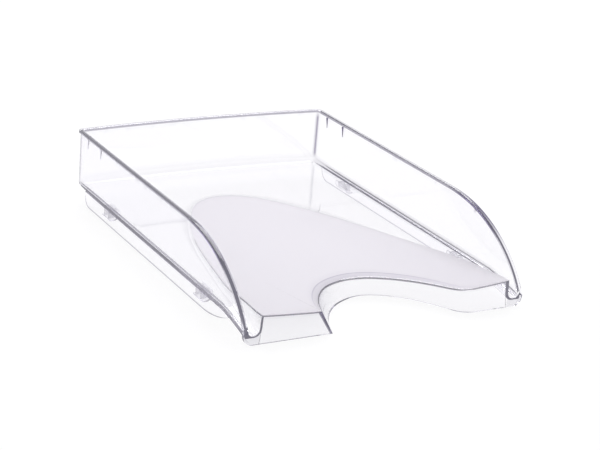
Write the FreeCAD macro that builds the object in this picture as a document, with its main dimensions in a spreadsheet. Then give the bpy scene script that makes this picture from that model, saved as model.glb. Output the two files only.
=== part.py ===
import FreeCAD, Part
import Sketcher
import math
import os
from FreeCAD import Placement, Rotation, Vector

# A clear moulded letter tray, drawn in millimetres.
# +X is right, +Y is back and +Z is up. The origin is on the desk, under the middle of the tray.
# The tray is one moulding, so its regions are separate solids that meet face to face.

SIZES = (
    ("tray_width", 257.0, "over the side rims at the front"),
    ("rear_taper", 3.5, "how far each side closes in on its way to the back corner"),
    ("tray_depth", 348.0, "front face to the middle of the back rim"),
    ("tray_height", 66.0, "desk to the top of the rim"),
    ("rear_bow", 6.0, "how far the back wall bows out behind its corners"),
    ("corner_radius", 7.0, "upright back corners, outside the rim"),
    ("corner_return", 12.0, "length of each side that the back wall carries round its corner"),
    ("wall_thick", 2.0, "walls, floor, ramp and gutters"),
    ("floor_clear", 13.0, "desk to the underside of the floor"),
    ("rim_out", 1.6, "rim beyond the outer face of the wall"),
    ("rim_in", 0.7, "rim beyond the inner face of the wall"),
    ("edge_thick", 2.5, "rim, and the front aprons that it runs down into"),
    ("swoop_run", 114.0, "how far from the front the side rims start to fall"),
    ("swoop_low", 9.0, "height where a side rim meets the apron"),
    ("swoop_lead", 2.2, "power of the fall along the tray"),
    ("swoop_drop", 1.5, "power of the fall in height"),
    ("gutter_width", 10.7, "gap between a side rim and the frosted ramp at the front"),
    ("ramp_length", 272.5, "front face to the back tip of the ramp"),
    ("rise_mid", 4.0, "height that the ramp gains at the front, on the centre line"),
    ("rise_side", 5.0, "further height at the two ends of the ramp's front edge"),
    ("step_start", 60.0, "back tip of the ramp to where its side steps begin"),
    ("gutter_run", 44.0, "length of each gutter that dips to the front"),
    ("gutter_low", 7.5, "top of the gutter at the front"),
    ("apron_radius", 8.0, "lower outer corners of the front face"),
    ("notch_left", 50.0, "left corner of the finger notch from the centre line, at the desk"),
    ("notch_right", 80.0, "right end of the finger notch from the centre line"),
    ("notch_depth", 59.5, "front face to the deepest point of the finger notch"),
    ("notch_lean", 12.0, "how far the left side of the notch leans outwards"),
    ("notch_lean_height", 19.0, "height over which the notch leans by that much"),
    ("runner_lap", 0.3, "runner beyond the inner face of the wall, under the floor"),
    ("runner_thick", 1.8, "foot runner"),
    ("runner_rear_gap", 25.0, "middle of the back face to the back end of the runner"),
    ("runner_radius", 10.0, "rounded back end of the runner"),
    ("runner_front_gap", 78.0, "front face to where the runner starts to lift"),
    ("runner_sweep", 110.0, "radius of the lifting front end"),
    ("lug_length", 18.0, "stacking lug along the runner"),
    ("lug_reach", 8.0, "stacking lug inwards from the runner"),
    ("lug_height", 8.0, "stacking lug below the floor"),
    ("lug_radius", 5.0, "rounded lower edge of the stacking lug"),
    ("rear_lug_gap", 74.0, "middle of the back face to the middle of the back lugs"),
    ("front_lug_gap", 86.0, "front face to the middle of the front lugs"),
    ("rib_thick", 1.2, "locating rib along the wall"),
    ("rib_reach", 1.5, "locating rib inwards at its top"),
    ("rib_height", 10.0, "locating rib under the rim"),
    ("rear_rib_gap", 27.5, "middle of the back face to the back pair of ribs"),
    ("front_rib_gap", 56.5, "middle of the back face to the front pair of ribs"),
)

# The frosted ramp's outline: shares of its half width and of its length from the front face,
# from the right front corner over the back tip to the left front corner.
RAMP_OUTLINE = (
    (1.000, 0.150), (0.965, 0.235), (0.835, 0.410), (0.670, 0.590), (0.495, 0.745), (0.300, 0.875),
    (0.090, 0.970), (-0.130, 1.000), (-0.330, 0.972), (-0.500, 0.890), (-0.650, 0.770),
    (-0.775, 0.630), (-0.870, 0.475), (-0.945, 0.325), (-1.000, 0.170),
)

# The finger notch at the desk: shares of the way from its left corner to its right end,
# and of its depth.
NOTCH_OUTLINE = (
    (0.000, 0.000), (0.060, 0.330), (0.130, 0.580), (0.235, 0.810), (0.345, 0.945), (0.450, 1.000),
    (0.560, 0.945), (0.675, 0.790), (0.785, 0.540), (0.880, 0.230), (0.935, 0.065), (1.000, 0.000),
)

# How much of the lean each of those points takes: all of it on the left, none at the right end.
NOTCH_LEAN = (1.0, 0.95, 0.92, 0.95, 0.90, 0.70, 0.55, 0.45, 0.30, 0.20, 0.10, 0.0)

doc = FreeCAD.newDocument("LetterTray")
sheet = doc.addObject("Spreadsheet::Sheet", "Sizes")
for row, (alias, value, meaning) in enumerate(SIZES, start=1):
    sheet.set(f"A{row}", meaning)
    sheet.set(f"B{row}", str(value))
    sheet.setAlias(f"B{row}", alias)
doc.recompute()
size = {alias: float(sheet.get(alias)) for alias, value, meaning in SIZES}

SIDES = (("left", -1), ("right", 1))
FAR = size["tray_width"] + size["tray_depth"]

front_y = -size["tray_depth"] / 2
back_y = size["tray_depth"] / 2
corner_y = back_y - size["rear_bow"]
split_y = corner_y - size["corner_return"]
apron_back_y = front_y + size["edge_thick"]
floor_top = size["floor_clear"] + size["wall_thick"]
wall_inset = size["rim_out"] + size["wall_thick"]
rim_inset = wall_inset + size["rim_in"]
ramp_half = size["tray_width"] / 2 - rim_inset - size["gutter_width"]
ramp_back_y = front_y + size["ramp_length"]
gutter_back_y = front_y + size["gutter_run"]
gutter_under = size["gutter_low"] - size["wall_thick"]
taper = -size["rear_taper"] / (corner_y - front_y)
taper_angle = math.degrees(math.atan(taper))


def outer_x(y):
    """Half the width over the rims at a depth: the sides run straight and close in to the back."""
    return size["tray_width"] / 2 + taper * (y - front_y)


def block(low, high):
    """A box between two opposite corners."""
    return Part.makeBox(high[0] - low[0], high[1] - low[1], high[2] - low[2], Vector(*low))


def prism(points, direction):
    """A solid that carries a flat polygon along a direction."""
    return Part.Face(Part.makePolygon(points + points[:1])).extrude(direction)


def half_space(side):
    """Everything on one side of the centre plane."""
    return block((min(0, side * FAR), -FAR, -FAR), (max(0, side * FAR), FAR, FAR))


def plan_solid(inset, low, high):
    """The tray seen from above, drawn in from the rim: straight sides, bowed back, rounded corners."""
    rear_y = corner_y - inset
    front_x = outer_x(front_y) - inset
    rear_x = outer_x(rear_y) - inset
    front_left = Vector(-front_x, front_y, low)
    rear_left = Vector(-rear_x, rear_y, low)
    rear_middle = Vector(0, back_y - inset, low)
    rear_right = Vector(rear_x, rear_y, low)
    front_right = Vector(front_x, front_y, low)
    edges = [
        Part.LineSegment(front_left, rear_left).toShape(),
        Part.Arc(rear_left, rear_middle, rear_right).toShape(),
        Part.LineSegment(rear_right, front_right).toShape(),
        Part.LineSegment(front_right, front_left).toShape(),
    ]
    solid = Part.Face(Part.Wire(edges)).extrude(Vector(0, 0, high - low))
    uprights = [e for e in solid.Edges if e.BoundBox.ZLength > e.BoundBox.XLength + e.BoundBox.YLength]
    corners = [e for e in uprights if e.BoundBox.YMin > split_y]
    return solid.makeFillet(size["corner_radius"] - inset, corners)


def swoop(turn, inset):
    """A point of the falling side rim, drawn in square to it: a superellipse.

    The turn runs from 0 degrees, where the rim is level, to 90 degrees at the front.
    """
    def on_curve(angle):
        y = front_y + size["swoop_run"] * (1 - math.sin(angle) ** (2 / size["swoop_lead"]))
        z = size["swoop_low"] + drop * math.cos(angle) ** size["swoop_drop"]
        return Vector(0, y, z)
    drop = size["tray_height"] - size["swoop_low"]
    angle = math.radians(turn)
    small = math.radians(0.05)
    along = on_curve(min(angle + small, math.pi / 2)) - on_curve(max(angle - small, 0))
    inward = Vector(0, -along.z, along.y).normalize()
    if turn == 0:
        inward = Vector(0, 0, -1)
    if turn == 90:
        inward = Vector(0, 1, 0)
    return on_curve(angle) + inward * inset


def under_swoop(inset):
    """Everything below the side rim's line, drawn in by the inset, across the whole width."""
    turns = (0, 12, 22, 32, 42, 52, 62, 72, 81, 90)
    points = [swoop(turn, inset) for turn in turns]
    curve = Part.BSplineCurve()
    curve.interpolate(points)
    last = points[-1]
    outline = Part.makePolygon([
        last,
        Vector(0, last.y, -FAR),
        Vector(0, FAR, -FAR),
        Vector(0, FAR, points[0].z),
        points[0],
    ])
    face = Part.Face(Part.Wire([curve.toShape()] + outline.Edges))
    solid = face.extrude(Vector(2 * FAR, 0, 0))
    solid.translate(Vector(-FAR, 0, 0))
    return solid


def smooth_wire(points, closing, **ends):
    """A closed wire: a smooth curve through the points, then straight lines through the closing points."""
    curve = Part.BSplineCurve()
    curve.interpolate(Points=points, **ends)
    lines = Part.makePolygon([points[-1]] + closing + [points[0]])
    return Part.Wire([curve.toShape()] + lines.Edges)


def ramp_footprint():
    """The ramp seen from above, as a tall solid."""
    points = [Vector(u * ramp_half, front_y + v * size["ramp_length"], 0) for u, v in RAMP_OUTLINE]
    front_corners = [Vector(-ramp_half, front_y, 0), Vector(ramp_half, front_y, 0)]
    backwards = Vector(0, 1, 0)
    wire = smooth_wire(points, front_corners, InitialTangent=backwards, FinalTangent=-backwards)
    return Part.Face(wire).extrude(Vector(0, 0, size["tray_height"]))


def ramp_height(x, y):
    """The ramp's top: level with the floor at its back tip, rising to the front and dished across."""
    share = max(0.0, (ramp_back_y - y) / size["ramp_length"])
    rise = size["rise_mid"] + size["rise_side"] * (x / ramp_half) ** 2
    return floor_top + rise * share ** 1.5


def above_ramp(drop):
    """Everything above the ramp's top, or above its underside when lowered."""
    columns = 9
    rows = 15
    reach_x = 1.15 * ramp_half
    low_y = front_y - size["edge_thick"]
    high_y = ramp_back_y + size["edge_thick"]
    grid = []
    for i in range(columns):
        x = -reach_x + 2 * reach_x * i / (columns - 1)
        ys = [low_y + (high_y - low_y) * j / (rows - 1) for j in range(rows)]
        grid.append([Vector(x, y, ramp_height(x, y) - drop) for y in ys])
    surface = Part.BSplineSurface()
    surface.interpolate(grid)
    return surface.toShape().extrude(Vector(0, 0, 2 * size["tray_height"]))


def notch_line(z, inset):
    """The finger notch's line at a height, drawn into the tray by the inset."""
    span = size["notch_left"] + size["notch_right"]
    shift = size["notch_lean"] * z / size["notch_lean_height"]
    points = []
    for (u, v), lean in zip(NOTCH_OUTLINE, NOTCH_LEAN):
        x = u * span - size["notch_left"] - lean * shift
        points.append(Vector(x, front_y + v * size["notch_depth"], z))
    curve = Part.BSplineCurve()
    curve.interpolate(points)
    drawn_in = []
    for point in points:
        along = curve.tangent(curve.parameter(point))[0]
        drawn_in.append(point + Vector(-along.y, along.x, 0).normalize() * inset)
    drawn_in[-1] = Vector(points[-1].x, points[-1].y + inset, z)
    return drawn_in


def notch_solid(inset):
    """The finger notch as a solid, open to the front, leaning on its left side."""
    wires = []
    for z in (-1.0, size["tray_height"] / 2):
        line = notch_line(z, inset)
        outside = front_y - size["notch_depth"] / 2
        closing = [Vector(line[-1].x, outside, z), Vector(line[0].x, outside, z)]
        wires.append(smooth_wire(line, closing))
    return Part.makeLoft(wires, True, True)


def sloped_plate(x_low, x_high, top, bottom):
    """Everything between two lines of the tray's side view, over a stretch of its width."""
    points = [Vector(x_low, y, z) for y, z in top] + [Vector(x_low, y, z) for y, z in reversed(bottom)]
    return prism(points, Vector(x_high - x_low, 0, 0))


def feature(name, shape):
    """One region of the moulding as a document object."""
    item = doc.addObject("Part::Feature", name)
    item.Label = name
    item.Shape = shape
    nodes.append(item)
    return item


nodes = []

# Shared cutting solids
inner_plan = plan_solid(wall_inset, -FAR, FAR)
outer_plan = plan_solid(size["rim_out"], -FAR, FAR)
wall_ring = outer_plan.cut(inner_plan)
rim_ring = plan_solid(0, -FAR, FAR).cut(plan_solid(rim_inset, -FAR, FAR))
behind_split = block((-FAR, split_y, -FAR), (FAR, FAR, FAR))
before_split = block((-FAR, apron_back_y, -FAR), (FAR, split_y, FAR))
rim_low_z = size["tray_height"] - size["edge_thick"]
under_line = [(FAR, size["floor_clear"]), (gutter_back_y, size["floor_clear"]), (apron_back_y, gutter_under)]
above_floor = sloped_plate(-FAR, FAR, [(FAR, FAR), (apron_back_y, FAR)], under_line)
below_rim = under_swoop(size["edge_thick"])
footprint = ramp_footprint()
over_ramp = above_ramp(0)
over_underside = above_ramp(size["wall_thick"])
notch = notch_solid(0)
notch_outer = notch_solid(size["edge_thick"])


# Walls and rims
wall_band = block((-FAR, split_y, size["floor_clear"]), (FAR, FAR, rim_low_z))
feature("back_wall", wall_ring.common(wall_band))
rim_band = block((-FAR, split_y, rim_low_z), (FAR, FAR, size["tray_height"]))
feature("back_rim", rim_ring.common(rim_band))
side_walls = wall_ring.common(before_split).common(below_rim).common(above_floor)
side_rims = under_swoop(0).cut(below_rim).common(rim_ring)
side_rims = side_rims.common(block((-FAR, -FAR, size["swoop_low"]), (FAR, split_y, FAR)))
for word, side in SIDES:
    feature(f"{word}_wall", side_walls.common(half_space(side)))
    feature(f"{word}_rim", side_rims.common(half_space(side)))

# Floor, and the gutter on each side of the ramp that dips to the front
gutter_zone = [block((-FAR, -FAR, -FAR), (-ramp_half, gutter_back_y, FAR))]
gutter_zone.append(block((ramp_half, -FAR, -FAR), (FAR, gutter_back_y, FAR)))
floor = inner_plan.common(block((-FAR, gutter_back_y - FAR, size["floor_clear"]), (FAR, FAR, floor_top)))
floor = floor.cut(footprint).cut(gutter_zone[0]).cut(gutter_zone[1])
feature("floor_panel", floor)
gutter_top = [(gutter_back_y, floor_top), (apron_back_y, size["gutter_low"])]
gutter_bottom = [(gutter_back_y, size["floor_clear"]), (apron_back_y, gutter_under)]
gutters = sloped_plate(-FAR, FAR, gutter_top, gutter_bottom).common(inner_plan)
for index, (word, side) in enumerate(SIDES):
    feature(f"{word}_gutter", gutters.common(gutter_zone[index]))

# Frosted ramp and the steps down its two sides
feature("frosted_ramp", footprint.common(over_underside).cut(over_ramp).cut(notch))
step_zone = block((-FAR, apron_back_y, -FAR), (FAR, ramp_back_y - size["step_start"], FAR))
for word, side in SIDES:
    moved = footprint.copy()
    moved.translate(Vector(-side * size["wall_thick"], 0, 0))
    step = footprint.cut(moved).common(step_zone).common(half_space(side))
    feature(f"{word}_ramp_step", step.common(above_floor).cut(over_underside))

# Front: notch wall and an apron on each side of it
notch_zone = block((-FAR, apron_back_y, 0), (0, FAR, FAR))
notch_zone = notch_zone.fuse(block((0, -FAR, 0), (size["notch_right"], FAR, FAR)))
feature("notch_wall", notch_outer.cut(notch).common(notch_zone).cut(over_underside))
apron_half = outer_x(front_y)
valley_out = apron_half - rim_inset
valley_radius = (valley_out - ramp_half) / 2
valley_z = size["gutter_low"] + valley_radius


def apron_blank(side, inner_x):
    """A front plate from the notch to the rim, with its lower outer corner rounded and a round valley."""
    radius = size["apron_radius"]
    swing = radius * (1 - math.cos(math.pi / 4))
    top = size["tray_height"] / 2
    start = Vector(side * inner_x, front_y, 0)
    corner_start = Vector(side * (apron_half - radius), front_y, 0)
    corner_middle = Vector(side * (apron_half - swing), front_y, swing)
    corner_end = Vector(side * apron_half, front_y, radius)
    rim_foot = Vector(side * apron_half, front_y, size["swoop_low"])
    rim_inner = Vector(side * valley_out, front_y, size["swoop_low"])
    valley_start = Vector(side * valley_out, front_y, valley_z)
    valley_middle = Vector(side * (valley_out - valley_radius), front_y, size["gutter_low"])
    valley_end = Vector(side * ramp_half, front_y, valley_z)
    ramp_corner = Vector(side * ramp_half, front_y, top)
    finish = Vector(side * inner_x, front_y, top)
    edges = Part.makePolygon([corner_end, rim_foot, rim_inner, valley_start]).Edges
    edges.append(Part.Arc(valley_start, valley_middle, valley_end).toShape())
    edges += Part.makePolygon([valley_end, ramp_corner, finish, start, corner_start]).Edges
    edges.append(Part.Arc(corner_start, corner_middle, corner_end).toShape())
    return Part.Face(Part.Wire(edges)).extrude(Vector(0, size["edge_thick"], 0))


feature("left_apron", apron_blank(-1, 0).cut(over_underside).cut(notch).cut(side_rims))
feature("right_apron", apron_blank(1, size["notch_right"]).cut(over_underside).cut(side_rims))


def new_body(name, role):
    """A body with one empty sketch on one of its own origin planes."""
    body = doc.addObject("PartDesign::Body", name)
    sketch = body.newObject("Sketcher::SketchObject", f"{name}_outline")
    plane = [item for item in body.Origin.OriginFeatures if item.Role == role][0]
    sketch.AttachmentSupport = [(plane, "")]
    sketch.MapMode = "FlatFace"
    return body, sketch


def tie(sketch, kind, where, value, formula):
    """A dimension of a sketch that follows a formula of the sheet's sizes."""
    index = sketch.addConstraint(Sketcher.Constraint(kind, *where, value))
    sketch.setExpression(f"Constraints[{index}]", formula)


def join_ends(sketch, pairs):
    """Joins the end of one sketch line to the start of the next."""
    for first, second in pairs:
        sketch.addConstraint(Sketcher.Constraint("Coincident", first, 2, second, 1))


def pad(body, sketch, cell, side_type):
    """Carries the sketch to a thickness from the sheet."""
    grown = body.newObject("PartDesign::Pad", f"{body.Name}_pad")
    grown.Profile = sketch
    grown.SideType = side_type
    grown.setExpression("Length", f"Sizes.{cell}")


def runner_body(name):
    """A foot runner on edge: flat foot, round back end and a long lifting front end."""
    body, sketch = new_body(name, "YZ_Plane")
    rear = back_y - size["runner_rear_gap"]
    radius = size["runner_radius"]
    front = front_y + size["runner_front_gap"]
    sweep = size["runner_sweep"]
    top = size["floor_clear"]
    lift = math.acos((sweep - top) / sweep)
    rear_centre = Vector(rear - radius, radius, 0)
    front_centre = Vector(front, sweep, 0)
    quarter = math.pi / 2
    front_arc = Part.Circle(front_centre, Vector(0, 0, 1), sweep)
    rear_arc = Part.Circle(rear_centre, Vector(0, 0, 1), radius)
    tip = Vector(front - sweep * math.sin(lift), top, 0)
    sketch.addGeometry(Part.ArcOfCircle(front_arc, -quarter - lift, -quarter), False)
    sketch.addGeometry(Part.LineSegment(Vector(front, 0, 0), Vector(rear - radius, 0, 0)), False)
    sketch.addGeometry(Part.ArcOfCircle(rear_arc, -quarter, 0), False)
    sketch.addGeometry(Part.LineSegment(Vector(rear, radius, 0), Vector(rear, top, 0)), False)
    sketch.addGeometry(Part.LineSegment(Vector(rear, top, 0), tip), False)
    join_ends(sketch, [(3, 4), (4, 0)])
    for first, second in [(0, 1), (1, 2), (2, 3)]:
        sketch.addConstraint(Sketcher.Constraint("Tangent", first, 2, second, 1))
    sketch.addConstraint(Sketcher.Constraint("PointOnObject", 1, 1, -1))
    sketch.addConstraint(Sketcher.Constraint("Horizontal", 1))
    sketch.addConstraint(Sketcher.Constraint("Horizontal", 4))
    tie(sketch, "Radius", (0,), sweep, "Sizes.runner_sweep")
    tie(sketch, "Radius", (2,), radius, "Sizes.runner_radius")
    tie(sketch, "DistanceX", (1, 1, -1, 1), -front, "Sizes.tray_depth / 2 - Sizes.runner_front_gap")
    tie(sketch, "DistanceX", (-1, 1, 3, 1), rear, "Sizes.tray_depth / 2 - Sizes.runner_rear_gap")
    tie(sketch, "DistanceY", (-1, 1, 4, 1), top, "Sizes.floor_clear")
    pad(body, sketch, "runner_thick", "One side")
    return body


def lug_body(name):
    """A stacking lug under the floor: a block with its lower inner edge rounded."""
    body, sketch = new_body(name, "XZ_Plane")
    reach = size["lug_reach"]
    radius = size["lug_radius"]
    top = size["floor_clear"]
    low = top - size["lug_height"]
    round_edge = Part.Circle(Vector(reach - radius, low + radius, 0), Vector(0, 0, 1), radius)
    sketch.addGeometry(Part.LineSegment(Vector(0, top, 0), Vector(0, low, 0)), False)
    sketch.addGeometry(Part.LineSegment(Vector(0, low, 0), Vector(reach - radius, low, 0)), False)
    sketch.addGeometry(Part.ArcOfCircle(round_edge, -math.pi / 2, 0), False)
    sketch.addGeometry(Part.LineSegment(Vector(reach, low + radius, 0), Vector(reach, top, 0)), False)
    sketch.addGeometry(Part.LineSegment(Vector(reach, top, 0), Vector(0, top, 0)), False)
    join_ends(sketch, [(0, 1), (3, 4), (4, 0)])
    sketch.addConstraint(Sketcher.Constraint("Tangent", 1, 2, 2, 1))
    sketch.addConstraint(Sketcher.Constraint("Tangent", 2, 2, 3, 1))
    sketch.addConstraint(Sketcher.Constraint("Vertical", 0))
    sketch.addConstraint(Sketcher.Constraint("Horizontal", 4))
    sketch.addConstraint(Sketcher.Constraint("Horizontal", 1))
    sketch.addConstraint(Sketcher.Constraint("PointOnObject", 0, 1, -2))
    tie(sketch, "Radius", (2,), radius, "Sizes.lug_radius")
    tie(sketch, "DistanceX", (4, 2, 4, 1), reach, "Sizes.lug_reach")
    tie(sketch, "DistanceY", (0, 2, 0, 1), size["lug_height"], "Sizes.lug_height")
    tie(sketch, "DistanceY", (-1, 1, 0, 1), top, "Sizes.floor_clear")
    pad(body, sketch, "lug_length", "Symmetric")
    return body


def rib_body(name):
    """A locating rib under the rim: a thin upright wedge that runs out downwards."""
    body, sketch = new_body(name, "XZ_Plane")
    reach = Vector(size["rib_reach"], 0, 0)
    foot = Vector(0, -size["rib_height"], 0)
    sketch.addGeometry(Part.LineSegment(Vector(0, 0, 0), foot), False)
    sketch.addGeometry(Part.LineSegment(foot, reach), False)
    sketch.addGeometry(Part.LineSegment(reach, Vector(0, 0, 0)), False)
    join_ends(sketch, [(0, 1), (1, 2), (2, 0)])
    sketch.addConstraint(Sketcher.Constraint("Coincident", 0, 1, -1, 1))
    sketch.addConstraint(Sketcher.Constraint("Vertical", 0))
    sketch.addConstraint(Sketcher.Constraint("Horizontal", 2))
    tie(sketch, "DistanceX", (2, 2, 2, 1), reach.Length, "Sizes.rib_reach")
    tie(sketch, "DistanceY", (0, 2, 0, 1), foot.Length, "Sizes.rib_height")
    pad(body, sketch, "rib_thick", "Symmetric")
    return body


def along_side(side, inset, y, z):
    """A place on a line parallel to one tapered side, turned with that side."""
    turned = Rotation(Vector(0, 0, 1), -side * taper_angle)
    return Placement(Vector(side * (outer_x(y) - inset), y, z), turned)


# Foot runners under the side walls, cut off where they meet the floor and the gutters
tub = doc.addObject("Part::Feature", "space_above_floor")
tub.Shape = above_floor
runner_inner = wall_inset + size["runner_lap"]
runner_outer = runner_inner - size["runner_thick"]
for word, side in SIDES:
    blank = runner_body(f"{word}_runner_blank")
    blank.Placement = along_side(side, runner_outer if side < 0 else runner_inner, 0, 0)
    runner = doc.addObject("Part::Cut", f"{word}_runner")
    runner.Base = blank
    runner.Tool = tub
    nodes.append(runner)

# Stacking lugs on the runners and locating ribs under the rims, two of each on each side
for word, side in SIDES:
    inwards = Rotation(Vector(0, 0, 1), 0 if side < 0 else 180)
    for place, y in (("rear", back_y - size["rear_lug_gap"]), ("front", front_y + size["front_lug_gap"])):
        lug = lug_body(f"{word}_{place}_lug")
        lug.Placement = along_side(side, runner_inner, y, 0).multiply(Placement(Vector(), inwards))
        nodes.append(lug)
    for place, y in (("rear", back_y - size["rear_rib_gap"]), ("front", back_y - size["front_rib_gap"])):
        rib = rib_body(f"{word}_{place}_rib")
        rib.Placement = along_side(side, wall_inset, y, rim_low_z).multiply(Placement(Vector(), inwards))
        nodes.append(rib)

doc.recompute()
for item in doc.Objects:
    if "Invalid" in item.State or "Error" in item.State:
        raise RuntimeError(f"{item.Name} did not build: {item.State}")
os.makedirs("parts", exist_ok=True)
for item in nodes:
    item.Label = item.Name
    shape = item.Shape
    if shape.isNull() or not shape.isValid() or len(shape.Solids) != 1:
        raise RuntimeError(f"{item.Label} is not one valid solid")
    shape.exportStep(f"parts/{item.Label}.step")
print(f"{len(nodes)} sub-parts written")
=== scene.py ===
# %% [markdown]
# # A clear moulded letter tray
# The tray is one moulding in crystal-clear plastic with a faint violet tint. The engineering model
# holds it as twenty-five plain solids. Clear plastic shows every seam, so here the walls, rim, floor,
# ramp and front are drawn again as one continuous skin. The two foot runners, the four lugs and the
# four ribs are pieces of their own. The first cell loads the fixed frame that gives the size.

# %% Load the frame and keep its box
import math

import bmesh
import bpy
import numpy as np
from mathutils import Matrix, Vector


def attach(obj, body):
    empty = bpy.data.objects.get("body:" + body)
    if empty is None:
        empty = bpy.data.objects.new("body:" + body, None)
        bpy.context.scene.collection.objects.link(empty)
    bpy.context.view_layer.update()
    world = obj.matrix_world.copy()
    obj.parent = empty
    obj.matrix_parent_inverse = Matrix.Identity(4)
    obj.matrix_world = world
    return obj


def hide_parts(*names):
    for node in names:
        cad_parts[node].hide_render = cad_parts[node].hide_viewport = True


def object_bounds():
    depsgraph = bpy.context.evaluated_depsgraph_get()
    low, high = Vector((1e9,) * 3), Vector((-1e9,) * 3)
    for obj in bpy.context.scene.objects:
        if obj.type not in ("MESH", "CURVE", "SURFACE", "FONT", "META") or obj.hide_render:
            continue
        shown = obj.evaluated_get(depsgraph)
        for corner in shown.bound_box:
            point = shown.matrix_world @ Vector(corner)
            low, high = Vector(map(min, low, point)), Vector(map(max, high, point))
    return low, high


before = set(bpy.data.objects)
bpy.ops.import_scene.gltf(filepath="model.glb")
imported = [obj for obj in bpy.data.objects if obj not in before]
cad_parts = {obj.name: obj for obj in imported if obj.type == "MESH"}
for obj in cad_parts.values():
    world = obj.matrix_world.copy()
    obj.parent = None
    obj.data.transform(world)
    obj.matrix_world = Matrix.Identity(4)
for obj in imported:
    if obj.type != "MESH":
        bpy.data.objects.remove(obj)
cad_low, cad_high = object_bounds()
MM = 0.001
half_width = cad_high.x / MM
front_y = cad_low.y / MM
back_y = cad_high.y / MM
top_z = cad_high.z / MM
print(f"tray {2 * half_width:.1f} x {back_y - front_y:.1f} x {top_z:.1f} mm")

# %% [markdown]
# ## The tray's own sizes
# Everything below works in millimetres and is turned into metres when a mesh is made. These are the
# sizes a mould maker would give: how thick the walls are, how the rim stands out, how the floor sits
# above the desk, and how the frosted ramp and the finger notch run.

# %% Sizes in millimetres
TAPER = 3.5
REAR_BOW = 6.0
CORNER_RADIUS = 7.0
WALL = 2.0
RIM_OUT = 1.6
RIM_IN = 0.7
RIM_THICK = 2.5
WALL_IN = RIM_OUT + WALL
RIM_EDGE = WALL_IN + RIM_IN
FLOOR_TOP = 15.0
GUTTER_LOW = 7.5
GUTTER_RUN = 44.0
GUTTER_POWER = 1.25
GUTTER_WIDTH = 10.7
APRON_RADIUS = 8.0
SWOOP_RUN = 114.0
SWOOP_LOW = 9.0
SWOOP_TURN = math.radians(77.5)
SWOOP_RUN_POWER = 2 / 2.2
SWOOP_DROP_POWER = 1.5
RAMP_HALF = half_width - RIM_EDGE - GUTTER_WIDTH
RAMP_LENGTH = 272.5
RAMP_POWER = 1.5
RAMP_RISE_MID = 4.0
RAMP_RISE_SIDE = 5.0
NOTCH_LEFT = 50.0
NOTCH_RIGHT = 80.0
NOTCH_DEPTH = 59.5
NOTCH_LEAN = 12.0 / 19.0
SKIRT_THICK = 2.5
EDGE_LEVEL = 18.0
LIP_WIDTH = 0.7
LIP_WIDTH_IN_NOTCH = 7.5
LIP_DROP = 0.5
LIP_DROP_IN_NOTCH = 0.7
inner_front_y = front_y + SKIRT_THICK
ramp_back_y = front_y + RAMP_LENGTH

RAMP_OUTLINE = np.array([
    (1.000, 0.150), (0.965, 0.235), (0.835, 0.410), (0.670, 0.590), (0.495, 0.745),
    (0.300, 0.875), (0.090, 0.970), (-0.130, 1.000), (-0.330, 0.972), (-0.500, 0.890),
    (-0.650, 0.770), (-0.775, 0.630), (-0.870, 0.475), (-0.945, 0.325), (-1.000, 0.170),
])
NOTCH_OUTLINE = np.array([
    (0.000, 0.000), (0.060, 0.330), (0.130, 0.580), (0.235, 0.810), (0.345, 0.945), (0.450, 1.000),
    (0.560, 0.945), (0.675, 0.790), (0.785, 0.540), (0.880, 0.230), (0.935, 0.065), (1.000, 0.000),
])
NOTCH_LEANS = np.array([1.0, 0.95, 0.92, 0.95, 0.90, 0.70, 0.55, 0.45, 0.30, 0.20, 0.10, 0.0])

# %% [markdown]
# ## Curves and surfaces as arrays
# A smooth outline is a cubic spline through a few points. Its slopes come from one small set of linear
# equations, which makes the curvature run on from piece to piece, as a draughtsman's flexible lath does.
# A skin of plastic is then two grids of points, an upper and a lower one, closed round their borders.

# %% Helpers for curves
def ease(t):
    """0 before 0, 1 after 1, and 3t^2 - 2t^3 in between."""
    t = np.clip(t, 0.0, 1.0)
    return t * t * (3 - 2 * t)


def spline(points, start=None, end=None, count=1500):
    """A cubic curve through the points, by chord length; the slopes make its curvature continuous.

    In each span the curve is the Hermite blend of its two end points and two end slopes.
    """
    points = np.asarray(points, float)
    gaps = np.linalg.norm(np.diff(points, axis=0), axis=1)
    knots = np.concatenate([[0.0], np.cumsum(gaps)])
    size = len(points)
    inverse = 1 / gaps
    matrix = np.zeros((size, size))
    inner = np.arange(1, size - 1)
    matrix[inner, inner - 1] = inverse[:-1]
    matrix[inner, inner] = 2 * (inverse[:-1] + inverse[1:])
    matrix[inner, inner + 1] = inverse[1:]
    steps = np.diff(points, axis=0) * inverse[:, None] ** 2
    right = np.zeros_like(points)
    right[1:-1] = 3 * (steps[:-1] + steps[1:])
    matrix[0, :2] = (1, 0) if start is not None else (2, 1)
    right[0] = start if start is not None else 3 * steps[0] * gaps[0]
    matrix[-1, -2:] = (0, 1) if end is not None else (1, 2)
    right[-1] = end if end is not None else 3 * steps[-1] * gaps[-1]
    slopes = np.linalg.solve(matrix, right)
    at = np.linspace(0, knots[-1], count)
    span = np.clip(np.searchsorted(knots, at, side="right") - 1, 0, size - 2)
    t = ((at - knots[span]) * inverse[span])[:, None]
    gap = gaps[span][:, None]
    return (
        (2 * t**3 - 3 * t**2 + 1) * points[span]
        + (t**3 - 2 * t**2 + t) * gap * slopes[span]
        + (3 * t**2 - 2 * t**3) * points[span + 1]
        + (t**3 - t**2) * gap * slopes[span + 1]
    )


def lengths(line):
    """How far along a polyline each of its points lies, as a share from 0 to 1."""
    run = np.concatenate([[0.0], np.cumsum(np.linalg.norm(np.diff(line, axis=0), axis=1))])
    return run / run[-1]


def along(line, shares):
    """The points of a polyline at these shares of its length."""
    run = lengths(line)
    return np.stack([np.interp(shares, run, line[:, i]) for i in range(line.shape[1])], axis=-1)


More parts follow.
